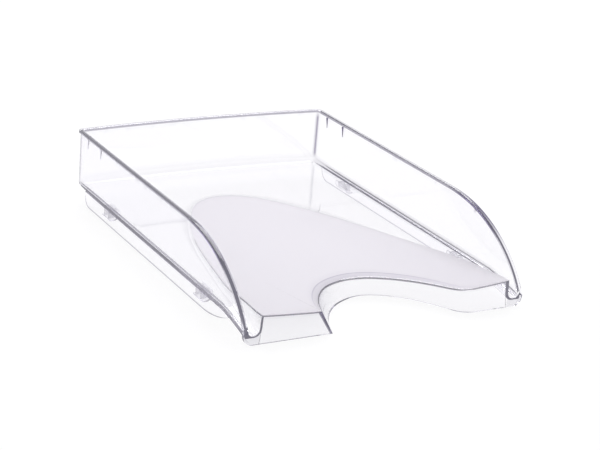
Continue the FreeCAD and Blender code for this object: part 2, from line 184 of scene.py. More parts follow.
def mitred_normals(line):
    """Normals to the right of a flat polyline, lengthened at a corner so that offsets stay even."""
    step = np.diff(line, axis=0)
    step = step / np.linalg.norm(step, axis=1)[:, None]
    normal = np.stack([step[:, 1], -step[:, 0]], axis=-1)
    before = np.concatenate([normal[:1], normal])
    after = np.concatenate([normal, normal[-1:]])
    return (before + after) / (1 + np.sum(before * after, axis=1))[:, None]


def steps(count):
    """Even shares of the way, without the start: 1/n, 2/n and so on up to 1."""
    return np.linspace(0, 1, count + 1)[1:]


def from_to(start, end, shares):
    """Points between two rows of points at these shares of the way: (1 - t) start + t end."""
    t = np.broadcast_to(shares, (len(start), np.shape(shares)[-1]))[..., None]
    return start[:, None] * (1 - t) + end[:, None] * t


# %% Helpers for meshes
def grid_faces(rows, columns, offset=0, flip=False):
    """The quads of a grid of points that is stored row after row."""
    r, c = np.meshgrid(np.arange(rows - 1), np.arange(columns - 1), indexing="ij")
    corner = (r * columns + c).ravel() + offset
    quads = np.stack([corner, corner + 1, corner + columns + 1, corner + columns], axis=-1)
    return quads[:, ::-1] if flip else quads


def slab_faces(rows, columns):
    """Quads of a closed slab: an upper grid, a lower grid and the four strips that join their borders."""
    low = rows * columns
    index = np.arange(low).reshape(rows, columns)
    strips = []
    for border, flip in ((index[0], True), (index[-1], False), (index[:, 0], False), (index[:, -1], True)):
        strip = np.stack([border[:-1], border[1:], border[1:] + low, border[:-1] + low], axis=-1)
        strips.append(strip[:, ::-1] if flip else strip)
    return np.concatenate([grid_faces(rows, columns), grid_faces(rows, columns, low, True)] + strips)


def make_piece(name, points, faces, painted_shade, marks=None, crease=32.0):
    """A mesh object from arrays in millimetres: doubles merged, faces turned outwards, soft bends smooth.

    Its fourth argument is one number a point of painted shade: how dark the plastic is painted there, where
    light has a long way through it.
    """
    mesh = bpy.data.meshes.new(name)
    mesh.from_pydata(points * MM, [], faces.tolist())
    # The painted shade is stored on every point, for the material to read.
    layer = mesh.attributes.new("edge_tint", "FLOAT", "POINT")
    layer.data.foreach_set("value", np.broadcast_to(painted_shade, (len(points),)).astype(np.float32))
    if marks is not None:
        mesh.polygons.foreach_set("material_index", marks.astype(np.int32))
    skin = bmesh.new()
    skin.from_mesh(mesh)
    bmesh.ops.remove_doubles(skin, verts=skin.verts, dist=2e-6)
    bmesh.ops.recalc_face_normals(skin, faces=skin.faces)
    open_edges = sum(not e.is_manifold for e in skin.edges)
    skin.to_mesh(mesh)
    skin.free()
    mesh.polygons.foreach_set("use_smooth", np.ones(len(mesh.polygons), bool))
    mesh.set_sharp_from_angle(angle=math.radians(crease))
    piece = bpy.data.objects.new(name, mesh)
    bpy.context.scene.collection.objects.link(piece)
    print(f"{name}: {len(mesh.polygons)} faces, {open_edges} open edges")
    return piece


def slab(name, upper, lower, upper_painted_shade, lower_painted_shade, marks=None):
    """A closed skin of plastic between two grids of points of the same shape."""
    rows, columns = upper.shape[:2]
    points = np.concatenate([upper.reshape(-1, 3), lower.reshape(-1, 3)])
    painted_shade = np.concatenate([np.broadcast_to(t, (rows, columns)).ravel() for t in (upper_painted_shade, lower_painted_shade)])
    return make_piece(name, points, slab_faces(rows, columns), painted_shade, marks)


# %% [markdown]
# ## Heights of the floor and of the frosted ramp
# The floor is level. Beside the ramp it becomes a gutter that dips to the front. The ramp leaves the
# floor at its rounded back tip and climbs towards the front, a little more at its sides than in the middle.

# %% Height functions
def floor_height(y):
    """Level, then an eased slope down over the gutter's run to its low end at the apron."""
    share = np.clip((front_y + GUTTER_RUN - y) / (GUTTER_RUN - SKIRT_THICK), 0, 1)
    return FLOOR_TOP - (FLOOR_TOP - GUTTER_LOW) * share**GUTTER_POWER


def ramp_height(x, y):
    """Floor level plus (middle rise + side rise (x / half)^2) times the share of the length to the 1.5."""
    share = np.clip((ramp_back_y - y) / RAMP_LENGTH, 0, 1)
    rise = RAMP_RISE_MID + RAMP_RISE_SIDE * np.clip(x / RAMP_HALF, -1, 1) ** 2
    return FLOOR_TOP + rise * share**RAMP_POWER


# %% [markdown]
# ## Stations round the tray
# Every part of the moulding is followed by the same set of stations, which run from the right front
# corner round the back to the left front corner. At each station there is a point on the rim, one on
# the ramp's outline and one on the front edge with its finger notch. A row of the skin joins the three.

# %% The path of the rim, seen from above
SIDE_ROWS = 116
CORNER_ROWS = 12
BACK_ROWS = 64
corner_y = back_y - REAR_BOW
slope = -TAPER / (corner_y - front_y)
rear_x = half_width - TAPER
bow_radius = (rear_x**2 + REAR_BOW**2) / (2 * REAR_BOW)
bow_centre_y = back_y - bow_radius


def side_x(y):
    """Half the width over the rims: straight sides that close in towards the back."""
    return half_width + slope * (y - front_y)


# The corner's centre slides until its circle touches both the side and the bow; thirty rounds settle it.
CORNER_ROUNDS = 30
corner_cy = corner_y
for _ in range(CORNER_ROUNDS):
    corner_cx = side_x(corner_cy) - CORNER_RADIUS
    corner_cy = bow_centre_y + math.sqrt((bow_radius - CORNER_RADIUS) ** 2 - corner_cx**2)
turn_end = math.atan2(corner_cy - bow_centre_y, corner_cx)
side_y = np.linspace(inner_front_y, corner_cy, SIDE_ROWS, endpoint=False)
corner_turn = np.linspace(0, turn_end, CORNER_ROWS, endpoint=False)
corner_out = np.stack([np.cos(corner_turn), np.sin(corner_turn)], axis=-1)
back_turn = np.linspace(turn_end, math.pi - turn_end, BACK_ROWS + 1)
back_out = np.stack([np.cos(back_turn), np.sin(back_turn)], axis=-1)
right_side = np.stack([side_x(side_y), side_y], axis=-1)
right_corner = np.array([corner_cx, corner_cy]) + CORNER_RADIUS * corner_out
back_line = np.array([0.0, bow_centre_y]) + bow_radius * back_out
mirror = np.array([-1.0, 1.0])
rim_line = np.concatenate([
    right_side, right_corner, back_line, (right_corner * mirror)[::-1], (right_side * mirror)[::-1]])
outward = np.concatenate([
    np.tile([1.0, 0.0], (SIDE_ROWS, 1)), corner_out, back_out,
    (corner_out * mirror)[::-1], np.tile([-1.0, 0.0], (SIDE_ROWS, 1))])
inward = -outward
ROWS = len(rim_line)
from_end = np.minimum(np.arange(ROWS), np.arange(ROWS)[::-1])
on_side = from_end < SIDE_ROWS
side_sign = np.where(on_side, np.sign(rim_line[:, 0]), 0.0)
print(f"{ROWS} stations round the rim")

# %% [markdown]
# ### The rim's fall to the front
# Seen from the side the rim leaves the level in a curve like part of a superellipse. At the angle a it
# lies run (1 - sin(a)^p) behind the front face and drop cos(a)^q above its low end. A station's share of
# the curve is its share of the way to the front. Each one keeps the direction square to the curve, so
# that the rim is as thick on the steep part as on the level part.

# %% The falling rim
FALL_POINTS = 1200
FALL_PROBE = 0.002
angle = np.linspace(0, SWOOP_TURN, FALL_POINTS)
fall = np.stack([
    front_y + SWOOP_RUN * (1 - np.sin(angle) ** SWOOP_RUN_POWER),
    SWOOP_LOW + (top_z - SWOOP_LOW) * np.cos(angle) ** SWOOP_DROP_POWER], axis=-1)
fall_start_y = front_y + SWOOP_RUN
fall_share = np.clip((fall_start_y - rim_line[:, 1]) / (fall_start_y - inner_front_y), 0, 1)
falling = on_side & (fall_share > 0)
fall_point = along(fall, fall_share)
fall_tangent = (
    along(fall, np.clip(fall_share + FALL_PROBE, 0, 1)) - along(fall, np.clip(fall_share - FALL_PROBE, 0, 1)))
fall_tangent /= np.linalg.norm(fall_tangent, axis=1)[:, None]
rim_shift = np.where(falling, fall_point[:, 0] - rim_line[:, 1], 0.0)
rim_z = np.where(falling, fall_point[:, 1], top_z)
square_y = np.where(falling, -fall_tangent[:, 1], 0.0)
square_z = np.where(falling, fall_tangent[:, 0], -1.0)


def at_wall(inset, shift, height):
    """Points at an inset from the rim's outer line, moved along the side by a shift, at a height."""
    inset, shift, height = (np.broadcast_to(v, (ROWS,)) for v in (inset, shift, height))
    x = rim_line[:, 0] + inward[:, 0] * inset + side_sign * slope * shift
    y = rim_line[:, 1] + inward[:, 1] * inset + np.where(on_side, shift, 0.0)
    return np.stack([x, y, height], axis=-1)


def at_rim(inset, depth):
    """Points of the rim's section: an inset from its outer face and a depth square to its top."""
    return at_wall(inset, rim_shift + square_y * depth, rim_z + square_z * depth)


# %% [markdown]
# ### The ramp's outline and the front edge
# Near the front the outline keeps level with the rim's stations, so that the rows cross the gutter
# squarely. Further back it runs ahead to its tip. The front edge has three stretches: the right apron,
# the finger notch and the left apron, with a station exactly on each end of the notch.

# %% The ramp's outline at the stations
outline_points = RAMP_OUTLINE * (RAMP_HALF, RAMP_LENGTH) + (0, front_y)
outline = spline(outline_points, start=(0, 1), end=(0, -1))
outline = np.concatenate([[(RAMP_HALF, front_y)], outline, [(-RAMP_HALF, front_y)]])
outline_run = lengths(outline)
tip = int(np.argmax(outline[:, 1]))
LEVEL_Y = -40.0
RIGHT_CORNER_SHARE = 0.37
LEFT_CORNER_SHARE = 0.65
OUTLINE_PROBE = 1e-3
level_row = int(np.searchsorted(side_y, LEVEL_Y))
right_level = np.interp(side_y[:level_row], outline[:tip, 1], outline_run[:tip])
left_level = np.interp(side_y[:level_row], outline[:tip:-1, 1], outline_run[:tip:-1])
middle_rows = np.arange(level_row, ROWS - level_row)
middle = np.interp(
    middle_rows,
    [level_row - 1, SIDE_ROWS, ROWS // 2, ROWS - SIDE_ROWS, ROWS - level_row],
    [right_level[-1], RIGHT_CORNER_SHARE, outline_run[tip], LEFT_CORNER_SHARE, left_level[-1]])
outline_share = np.concatenate([right_level, middle, left_level[::-1]])
foot_line = along(outline, outline_share)
ahead = (
    along(outline, np.clip(outline_share + OUTLINE_PROBE, 0, 1))
    - along(outline, np.clip(outline_share - OUTLINE_PROBE, 0, 1)))
ahead /= np.linalg.norm(ahead, axis=1)[:, None]
foot_out = np.stack([ahead[:, 1], -ahead[:, 0]], axis=-1)
print(f"ramp tip at y {outline[tip, 1]:.1f} mm, x {outline[tip, 0]:.1f} mm")

# %% The front edge at the stations, at the desk and at the top
APRON_ROWS_RIGHT = 46
APRON_ROWS_LEFT = 62
notch_rows = ROWS - APRON_ROWS_RIGHT - APRON_ROWS_LEFT


def front_line(height):
    """The outer face of the front at a height: right apron, notch (leaning on its left), left apron."""
    span = NOTCH_LEFT + NOTCH_RIGHT
    x = NOTCH_OUTLINE[:, 0] * span - NOTCH_LEFT - NOTCH_LEANS * NOTCH_LEAN * height
    y = front_y + NOTCH_OUTLINE[:, 1] * NOTCH_DEPTH
    notch = spline(np.stack([x, y], axis=-1))[::-1]
    shares = np.linspace(0, 1, notch_rows)
    corner = np.array([[RAMP_HALF, front_y]])
    right = from_to(corner, notch[None, 0], np.linspace(0, 1, APRON_ROWS_RIGHT, endpoint=False))[0]
    left = from_to(notch[None, -1], corner * mirror, steps(APRON_ROWS_LEFT))[0]
    return np.concatenate([right, along(notch, shares), left])


edge_plan = front_line(EDGE_LEVEL)
desk_plan = front_line(0.0)
edge_in = mitred_normals(edge_plan)
desk_in = mitred_normals(desk_plan)
in_notch = np.clip((np.arange(ROWS) - APRON_ROWS_RIGHT) / (notch_rows - 1), 0, 1)
notch_share = np.sin(math.pi * in_notch) ** 0.5
lip_width = LIP_WIDTH + LIP_WIDTH_IN_NOTCH * notch_share
lip_drop = LIP_DROP + LIP_DROP_IN_NOTCH * notch_share
print(f"notch reaches y {edge_plan[:, 1].max():.1f} mm")

# %% [markdown]
# ## The skin, zone by zone
# A row starts at the desk on the outside of the front, climbs the apron or the notch wall, rolls over
# the frosted lip, crosses the ramp, drops down its clear step, crosses the floor, turns up through the
# corner fillet, climbs the wall and goes round the rim. The lower grid follows about two millimetres
# behind, and under the rim it draws together into one line.

# %% Zone sizes
SKIRT_SHARES = np.array([0.0, 0.025, 0.06, 0.15, 0.4, 0.65, 0.85, 0.94, 0.975, 1.0])
LIP_STEPS = 6
RAMP_STEPS = 24
LINE = 0.8
FACE_STEPS = 3
FOOT_STEPS = 7
FLOOR_STEPS = 12
FILLET_STEPS = 8
WALL_STEPS = 9


def with_z(plan, height):
    """Flat points raised to their heights."""
    return np.concatenate([plan, np.broadcast_to(height, plan.shape[:1])[:, None]], axis=-1)


def clipped(plan):
    """Keeps the inner face of the front between the inner faces of the two side steps."""
    limit = RAMP_HALF - WALL
    return np.stack([np.clip(plan[:, 0], -limit, limit), plan[:, 1]], axis=-1)


# %% Step beside the ramp: a steep face and a round foot
STEP_LEAST = 0.15
STEP_FULL = 5.5
FORWARD_FROM = 64.0
FORWARD_RUN = 60.0
FACE_DEGREES = 24.0
FACE_DEGREES_FULL = 54.0
FACE_DEGREES_FORWARD = 9.0
FOOT_RADIUS = 2.2
FOOT_RADIUS_FORWARD = 2.8
FOOT_SHARE = 0.8
top_guess = ramp_height(foot_line[:, 0], foot_line[:, 1])
step_high = np.maximum(top_guess - floor_height(foot_line[:, 1]), STEP_LEAST)
forward = ease((front_y + FORWARD_FROM - foot_line[:, 1]) / FORWARD_RUN)
face_turn = np.radians(
    FACE_DEGREES + FACE_DEGREES_FULL * ease(step_high / STEP_FULL) + FACE_DEGREES_FORWARD * forward)
foot_radius = np.minimum(
    FOOT_RADIUS + FOOT_RADIUS_FORWARD * forward, FOOT_SHARE * step_high / (1 - np.cos(face_turn)))
foot_reach = foot_radius * np.sin(face_turn) + (
    step_high - foot_radius * (1 - np.cos(face_turn))) / np.tan(face_turn)
brow_line = foot_line - foot_out * (foot_reach * (1 - forward))[:, None]
brow_z = ramp_height(brow_line[:, 0], brow_line[:, 1])
step_high = np.maximum(brow_z - floor_height(brow_line[:, 1]), STEP_LEAST)


def beside_ramp(reach, rise):
    """Points at a reach outwards from the ramp's brow and a rise above the floor there."""
    plan = brow_line + foot_out * reach[:, None]
    return with_z(plan, floor_height(plan[:, 1]) + rise)


def foot_arc(radius, count):
    """The round foot: an arc about one centre, from square to the face down to the floor."""
    rows = []
    for turn in steps(count):
        bend = face_turn * (1 - turn)
        rows.append(beside_ramp(foot_reach - radius * np.sin(bend), foot_radius - radius * np.cos(bend)))
    return np.stack(rows, axis=1)


tangent_reach = foot_reach - foot_radius * np.sin(face_turn)
tangent_rise = foot_radius * (1 - np.cos(face_turn))
brow = with_z(brow_line, floor_height(brow_line[:, 1]) + step_high)
step_face = from_to(brow, beside_ramp(tangent_reach, tangent_rise), steps(FACE_STEPS))
step_foot = foot_arc(foot_radius, FOOT_STEPS)
mitre = WALL * np.tan(face_turn / 2)
brow_under = beside_ramp(-mitre, step_high - WALL)
back_reach = foot_reach - (foot_radius + WALL) * np.sin(face_turn)
back_rise = foot_radius - (foot_radius + WALL) * np.cos(face_turn)
face_under = from_to(brow_under, beside_ramp(back_reach, back_rise), steps(FACE_STEPS))
foot_under = foot_arc(foot_radius + WALL, FOOT_STEPS)

# %% Front skirt, rolled lip and frosted ramp
edge_z = ramp_height(edge_plan[:, 0], edge_plan[:, 1]) - lip_drop
skirt = from_to(with_z(desk_plan, 0.0), with_z(edge_plan, edge_z), SKIRT_SHARES)
lip_turn = steps(LIP_STEPS)
lip = []
for turn in lip_turn:
    plan = edge_plan + edge_in * (lip_width * turn)[:, None]
    plan[:, 0] = np.clip(plan[:, 0], -RAMP_HALF, RAMP_HALF)
    lip.append(with_z(plan, ramp_height(plan[:, 0], plan[:, 1]) - lip_drop * (1 - turn) ** 2))
lip = np.stack(lip, axis=1)
ramp_run = np.linalg.norm(brow - lip[:, -1], axis=1)[:, None]
near = np.clip(LINE / np.maximum(ramp_run, 1.0), 0, 0.1)
ramp_shares = np.concatenate([
    near, near + (1 - 2 * near) * steps(RAMP_STEPS - 2), np.ones_like(near)], axis=1)
ramp = from_to(lip[:, -1], brow, ramp_shares)
ramp[..., 2] = ramp_height(ramp[..., 0], ramp[..., 1])
ramp[:, -1] = brow
skirt_back_low = with_z(clipped(desk_plan + desk_in * SKIRT_THICK), 0.0)
back_plan = clipped(edge_plan + edge_in * SKIRT_THICK)
back_high = ramp_height(back_plan[:, 0], back_plan[:, 1]) - lip_drop - WALL
skirt_back = from_to(skirt_back_low, with_z(back_plan, back_high), SKIRT_SHARES)
under_start = clipped(edge_plan + edge_in * np.maximum(lip_width, SKIRT_THICK)[:, None])
under_lip = from_to(skirt_back[:, -1], with_z(under_start, 0.0), lip_turn)
under_ramp = from_to(under_lip[:, -1], brow_under, ramp_shares)
for part in (under_lip, under_ramp):
    part[..., 2] = ramp_height(part[..., 0], part[..., 1]) - WALL
under_lip[..., 2] -= lip_drop[:, None] * (1 - lip_turn[None]) ** 2
under_ramp[:, -1] = brow_under

# %% Floor, corner fillet and wall
CORNER_SPREAD = 11.0
near_corner = np.exp(-(((from_end - SIDE_ROWS - CORNER_ROWS / 2) / CORNER_SPREAD) ** 2))
at_back = ease((from_end - SIDE_ROWS) / CORNER_ROWS)


def round_the_tray(side, back, corner):
    """A size blended from three: one along the sides, one along the back, one at the back corners."""
    return (side * (1 - at_back) + back * at_back) * (1 - near_corner) + corner * near_corner


fillet_in = round_the_tray(4.4, 6.0, 3.1)
fillet_out = round_the_tray(1.4, 8.0, 4.6)
wall_floor = floor_height(rim_line[:, 1])


def corner_fillet(inset, radius, base):
    """A quarter circle from the floor to the wall face at the inset."""
    rows = []
    for turn in np.linspace(0, math.pi / 2, FILLET_STEPS + 1)[1:]:
        reach = inset + radius * (1 - math.sin(turn))
        rows.append(at_wall(reach, 0.0, base + radius * (1 - math.cos(turn))))
    return np.stack(rows, axis=1)


floor_edge = at_wall(WALL_IN + fillet_in, 0.0, wall_floor)
floor_skin = from_to(step_foot[:, -1], floor_edge, steps(FLOOR_STEPS))
floor_skin[..., 2] = floor_height(floor_skin[..., 1])
under_edge = at_wall(RIM_OUT + fillet_out, 0.0, wall_floor - WALL)
floor_under = from_to(foot_under[:, -1], under_edge, steps(FLOOR_STEPS))
floor_under[..., 2] = floor_height(floor_under[..., 1]) - WALL
fillet_skin = corner_fillet(WALL_IN, fillet_in, wall_floor)
fillet_under = corner_fillet(RIM_OUT, fillet_out, wall_floor - WALL)


def wall_face(start, inset):
    """The wall from its fillet to the underside of the rim, on the plane of the side."""
    t = steps(WALL_STEPS)
    shift = (rim_shift + square_y * RIM_THICK)[:, None] * t
    height = start[:, 2][:, None] * (1 - t) + (rim_z + square_z * RIM_THICK)[:, None] * t
    return np.stack([at_wall(inset, shift[:, i], height[:, i]) for i in range(len(t))], axis=1)


wall_in = wall_face(fillet_skin[:, -1], WALL_IN)
wall_out = wall_face(fillet_under[:, -1], RIM_OUT)

# %% [markdown]
# ### The rim
# The rim is a flat bead 4.3 mm wide and 2.5 mm thick with rounded corners. Its section is a short list
# of insets and depths that every station carries round, from under the inner lip over the top to under
# the outer lip, where it meets the outside of the wall.

# %% Rim section
RIM_ROUND = 0.75
quarter = np.linspace(0, math.pi / 2, 5)
inner_round = np.stack([
    RIM_EDGE - RIM_ROUND * (1 - np.cos(quarter)), RIM_ROUND * (1 - np.sin(quarter))], axis=-1)
outer_round = np.stack([RIM_ROUND * (1 - np.sin(quarter)), RIM_ROUND * (1 - np.cos(quarter))], axis=-1)
RIM_LOW_ROUND = 0.35
RIM_SECTION = np.concatenate([
    [(RIM_EDGE - RIM_LOW_ROUND, RIM_THICK), (RIM_EDGE, RIM_THICK - RIM_LOW_ROUND)],
    inner_round, [(RIM_EDGE / 2, 0.0)], outer_round,
    [(0.0, RIM_THICK - RIM_LOW_ROUND), (RIM_LOW_ROUND, RIM_THICK), (RIM_OUT, RIM_THICK)]])
rim_skin = np.stack([at_rim(inset, depth) for inset, depth in RIM_SECTION], axis=1)
rim_under = np.repeat(at_rim(RIM_OUT, RIM_THICK)[:, None], len(RIM_SECTION), axis=1)

# %% [markdown]
# ### Closing the two front corners
# At each end of the rows the skin grows into the apron under the gutter. Three more rows do it: one on
# the apron's back face, one just behind its front face and one on its front face. On all three the
# lower grid follows the apron's own edge, which lies on the desk and has a rounded lower corner.

# %% Join the zones
upper = np.concatenate([
    skirt, lip, ramp, step_face, step_foot, floor_skin, fillet_skin, wall_in, rim_skin], axis=1)
lower = np.concatenate([
    skirt_back, under_lip, under_ramp, face_under, foot_under, floor_under, fillet_under, wall_out,
    rim_under], axis=1)
skirt_zone = len(SKIRT_SHARES)
inside_zone = skirt_zone + LIP_STEPS + RAMP_STEPS
flat_zone = FACE_STEPS + FOOT_STEPS + FLOOR_STEPS
rim_zone = len(RIM_SECTION)

# %% [markdown]
# ### Painted shade where the plastic looks dark
# Clear plastic looks dark where light has a long way through it: along edges, in the bead of the rim and
# round tight corners. Here that dark is painted shade: each point of the skin carries it as one number,
# so that the dark follows the shape: 0 is clear, and the material stops the number at 1. The bead is
# painted with a dark line on each shoulder and darkest a third of the way down its fall. The columns of
# a zone are listed from the front's outer foot towards the rim. The painted shade of the notch's left bend
# runs on at half strength over the left apron. All these amounts were set one by one.

# %% Painted edge shade, zone by zone
def zone_painted_shade(columns, scale=1.0):
    """One number of painted shade a column, spread over all the stations and scaled there."""
    return np.broadcast_to(scale, (ROWS,))[:, None] * np.asarray(columns, float)[None]


def hump(t, middle, width):
    """A smooth hill: exp(-((t - middle) / width)^2)."""
    return np.exp(-(((t - middle) / width) ** 2))


BEND_AT = 0.88
BEND_WIDTH = 0.15
FALL_DARK_AT = 0.34
FALL_DARK_WIDTH = 0.24
STEEP_FROM = 0.55
STEEP_RUN = 0.15
# Painted violet shade on the notch wall round its left bend, running on at half strength over the left apron.
left_bend = hump(in_notch, BEND_AT, BEND_WIDTH) * (in_notch > 0)
skirt_painted_shade = zone_painted_shade([0.30, 0.18, 0.02, 0, 0, 0, 0.0, 0.10, 0.34, 0.48]) + zone_painted_shade(
    [0.05, 0.12, 0.15, 0.18, 0.24, 0.30, 0.38, 0.45, 0.45, 0.45], left_bend)
lip_painted_shade = zone_painted_shade([0.45, 0.38, 0.36, 0.34, 0.34, 0.9], notch_share)
ramp_painted_shade = zone_painted_shade([0.10] + [0.0] * (RAMP_STEPS - 3) + [0.04, 0.36])
face_painted_shade = zone_painted_shade(np.linspace(0.16, 0.04, FACE_STEPS))
foot_painted_shade = zone_painted_shade([0.04] * (FOOT_STEPS - 2) + [0.12, 0.30])
floor_painted_shade = zone_painted_shade(np.zeros(FLOOR_STEPS))
fillet_painted_shade = zone_painted_shade(np.linspace(0.0, 0.02, FILLET_STEPS))
# Painted shade down each back corner of the wall.
corner_line = hump(from_end, SIDE_ROWS + CORNER_ROWS * 0.5, 3.0)
wall_painted_shade = zone_painted_shade(np.linspace(0.0, 0.01, WALL_STEPS)) + 0.2 * corner_line[:, None]
# Painted shade on the rim: a line on each shoulder, darkest a third of the way down the fall, only the inner
# edge on its steep end.
fall_dark = hump(fall_share, FALL_DARK_AT, FALL_DARK_WIDTH) * on_side
steep = ease((fall_share - STEEP_FROM) / STEEP_RUN)
round_painted_shade = [1.0, 1.0, 0.8, 0.4, 0.0]
is_shoulder = np.concatenate([[0.6, 0.9], round_painted_shade, [0.0], round_painted_shade[::-1], [0.9, 0.6, 0.3]])
is_inner = np.concatenate([[0.6, 1.0], round_painted_shade, [0.0] * 9])
calm = 0.06 + 0.55 * is_shoulder
rim_painted_shade = (
    calm[None] * (1 - steep)[:, None] + 0.9 * fall_dark[:, None] + steep[:, None] * (0.45 * is_inner))
upper_painted_shade = np.concatenate([
    skirt_painted_shade, lip_painted_shade, ramp_painted_shade, face_painted_shade, foot_painted_shade, floor_painted_shade, fillet_painted_shade, wall_painted_shade,
    rim_painted_shade], axis=1)
# Painted shade on the outer skin: along the wall's lower corner, stronger on the sides than at the back, down
# the back corners and under the rim.
lower_painted_shade = np.zeros(upper_painted_shade.shape)
outer_fillet = slice(inside_zone + flat_zone, inside_zone + flat_zone + FILLET_STEPS)
lower_painted_shade[:, outer_fillet] = (0.42 * (1 - at_back) + 0.10 * at_back)[:, None]
outer_wall = slice(outer_fillet.stop, outer_fillet.stop + WALL_STEPS)
lower_painted_shade[:, outer_wall] += corner_line[:, None]
lower_painted_shade[:, outer_wall.stop - 1:] = 0.10

# %% The rows that close the two front corners
END_LIFT = 0.3
END_LIFT_INSIDE = 3.0
BEHIND_SHARE = 0.75


def apron_edge(side, y):
    """The apron's edge under the gutter: along the desk, round the lower corner and up to the rim."""
    start = half_width - APRON_RADIUS
    turns = steps(FILLET_STEPS) * math.pi / 2
    x = np.concatenate([
        np.full(inside_zone, RAMP_HALF), RAMP_HALF + (start - RAMP_HALF) * steps(flat_zone),
        start + APRON_RADIUS * np.sin(turns), np.full(WALL_STEPS + rim_zone, half_width)])
    z = np.concatenate([
        np.zeros(inside_zone + flat_zone), APRON_RADIUS * (1 - np.cos(turns)),
        APRON_RADIUS + (SWOOP_LOW - APRON_RADIUS) * steps(WALL_STEPS), np.full(rim_zone, SWOOP_LOW)])
    return np.stack([side * x, np.full(len(x), y), z], axis=-1)


def front_row(row, side):
    """The end row brought forward to the front face, with the rim run down to the apron."""
    moved = row.copy()
    moved[skirt_zone:inside_zone, 0] = side * RAMP_HALF
    moved[skirt_zone + LIP_STEPS:inside_zone, 2] = ramp_height(RAMP_HALF, front_y)
    moved[:, 1] = front_y
    inset, depth = RIM_SECTION.T
    moved[-rim_zone:, 0] = side * (half_width - inset)
    lift = np.where(
        inset > RIM_OUT, END_LIFT + END_LIFT_INSIDE * depth / RIM_THICK, END_LIFT * (1 - depth / RIM_THICK))
    moved[-rim_zone:, 2] = SWOOP_LOW + lift
    wall_top = row[-rim_zone - WALL_STEPS - 1, 2]
    wall_end = SWOOP_LOW + (END_LIFT + END_LIFT_INSIDE)
    moved[-rim_zone - WALL_STEPS:-rim_zone, 2] = np.linspace(wall_top, wall_end, WALL_STEPS)
    return moved


def closing_rows(row, side):
    """Three rows for one corner, back to front: the gutter's end, one just behind the face, and the face."""
    face = front_row(row, side)
    behind = row + BEHIND_SHARE * (face - row)
    near_face = front_y + (1 - BEHIND_SHARE) * SKIRT_THICK
    under = [apron_edge(side, y) for y in (inner_front_y, near_face, front_y)]
    return np.array([row, behind, face]), np.array(under)


# Painted shade on the rows that close the corners: on the apron's front face an even band across the gutter
# and up the wall, and the rim's inner edge; a quarter of that just behind the face.
face_painted_shade_row = np.concatenate([
    upper_painted_shade[0, :inside_zone], np.full(flat_zone + FILLET_STEPS + WALL_STEPS, 0.40), 0.1 + 0.3 * is_inner])
corner_upper_painted_shade = np.array([upper_painted_shade[0], 0.25 * face_painted_shade_row, face_painted_shade_row])
corner_lower_painted_shade = np.array([0.0, 0.05, 0.25])[:, None] * (np.arange(upper.shape[1]) > inside_zone)
right_up, right_low = closing_rows(upper[0], 1)
left_up, left_low = closing_rows(upper[-1], -1)
upper = np.concatenate([right_up[::-1], upper, left_up])
lower = np.concatenate([right_low[::-1], lower, left_low])
upper_painted_shade = np.concatenate([corner_upper_painted_shade[::-1], upper_painted_shade, corner_upper_painted_shade])
lower_painted_shade = np.concatenate([corner_lower_painted_shade[::-1], lower_painted_shade, corner_lower_painted_shade])
frosted = np.zeros((upper.shape[0] - 1, upper.shape[1] - 1), int)
frosted[:, skirt_zone:inside_zone - 1] = 1
marks = np.zeros(len(slab_faces(*upper.shape[:2])), int)
marks[:frosted.size] = frosted.ravel()
tray = slab("tray_shell", upper, lower, upper_painted_shade, lower_painted_shade, marks)
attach(tray, "root")
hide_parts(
    "back_wall", "back_rim", "left_wall", "left_rim", "right_wall", "right_rim", "floor_panel",
    "left_gutter", "right_gutter", "frosted_ramp", "left_ramp_step", "right_ramp_step", "notch_wall",
    "left_apron", "right_apron")

# %% [markdown]
# ## Foot runners
# A thin fin stands on edge under each side. Its back end is a round quarter and its front end lifts in
# a long arc until it meets the underside of the gutter. Each fin is a slab between two upright grids.

# %% Runners
RUNNER_OUT = 2.1
RUNNER_THICK = 1.8
RUNNER_REAR = back_y - 25.0
RUNNER_FRONT = front_y + 78.0
RUNNER_RADIUS = 10.0
RUNNER_SWEEP = 110.0
NOSE_LIMIT = front_y + 10.0
NOSE_HEIGHT = 0.05
TAIL_POINTS = 14
FIN_POINTS = 110
JOIN_GAP = 0.06


def runner_foot(y):
    """Height of the fin's lower edge: a quarter circle, the desk, then a long circle that lifts away."""
    rear = np.clip(y - (RUNNER_REAR - RUNNER_RADIUS), 0, RUNNER_RADIUS)
    front = np.clip(RUNNER_FRONT - y, 0, RUNNER_SWEEP)
    return (RUNNER_RADIUS - np.sqrt(RUNNER_RADIUS**2 - rear**2)) + (
        RUNNER_SWEEP - np.sqrt(RUNNER_SWEEP**2 - front**2))


def runner_top(y):
    """The underside of the floor and of the gutter, less a hair's gap."""
    return floor_height(y) - WALL - JOIN_GAP


tail = RUNNER_REAR - RUNNER_RADIUS * (1 - np.sin(np.linspace(0, math.pi / 2, TAIL_POINTS)))
search = np.linspace(RUNNER_FRONT, NOSE_LIMIT, 2000)
nose_y = search[np.argmax(runner_foot(search) >= runner_top(search) - NOSE_HEIGHT)]
fin_y = np.concatenate([tail[::-1], np.linspace(tail[0], nose_y, FIN_POINTS)[1:]])
EDGE_ROUND = 0.35
levels = np.concatenate([[0.0, 0.04, 0.09], np.linspace(0.2, 1.0, 5)])
# Painted shade on the fin: dark along its foot, faint along its top.
LEVEL_PAINTED_SHADES = np.array([1.0, 0.7, 0, 0, 0, 0, 0, 0.1])


